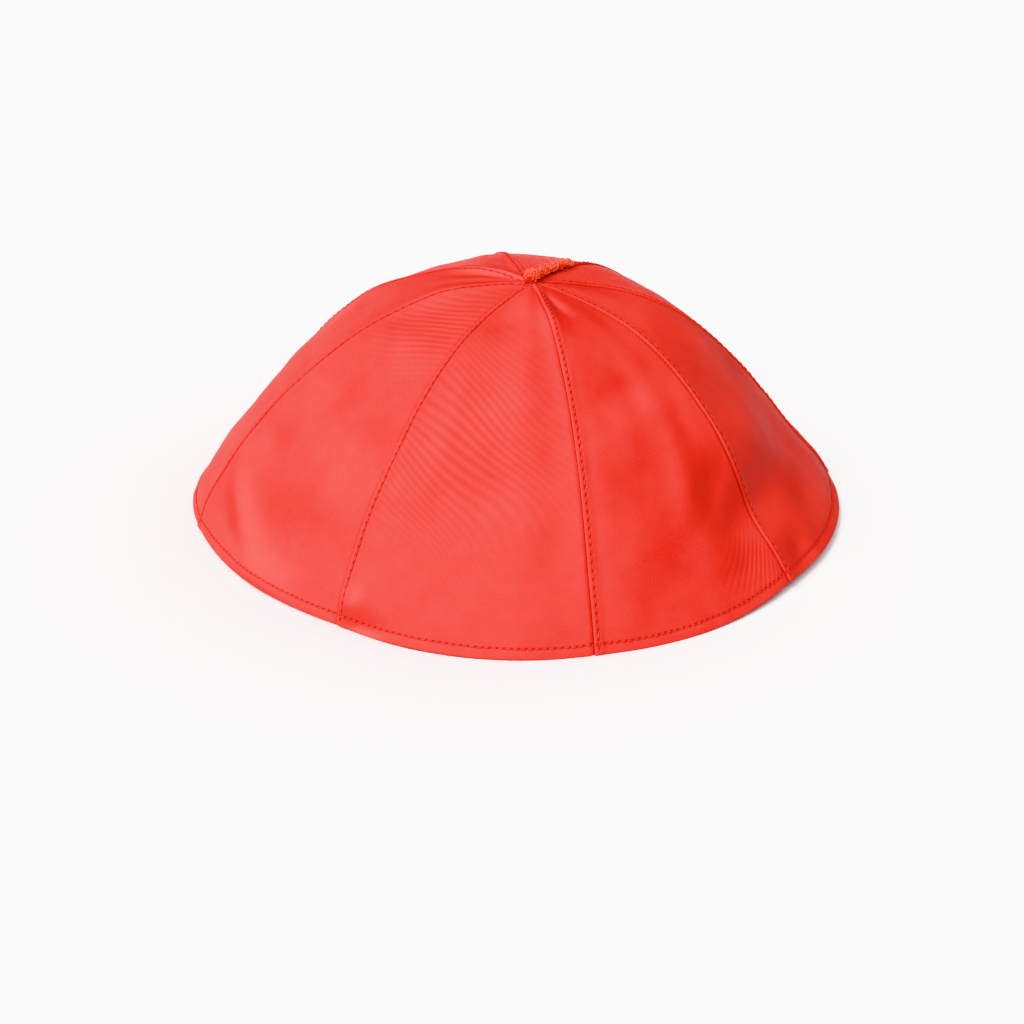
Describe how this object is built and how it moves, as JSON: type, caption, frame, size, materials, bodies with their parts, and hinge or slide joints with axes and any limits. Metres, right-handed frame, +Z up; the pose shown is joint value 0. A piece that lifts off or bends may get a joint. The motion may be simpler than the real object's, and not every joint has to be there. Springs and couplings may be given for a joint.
{
  "type": "kippah skullcap",
  "caption": "Round domed skullcap of sewn satin gores with a narrow turned hem and a fluffy thread knotted at the crown.",
  "frame": {"origin": "middle of the rim, on the surface that the cap stands on", "axes": "+Z up through the crown, -Y to the front that the picture shows, +X to the right of it"},
  "size_m": [0.1819, 0.1838, 0.0727],
  "materials": {
    "satin": "red polyester satin, soft sheen",
    "thread": "fluffy orange-red thread, matte"
  },
  "bodies": {
    "root": {"panel_1": "satin", "panel_2": "satin", "panel_3": "satin", "panel_4": "satin", "panel_5": "satin", "panel_6": "satin", "panel_7": "satin", "panel_8": "satin", "crown_thread": "thread"}
  },
  "joints": []
}
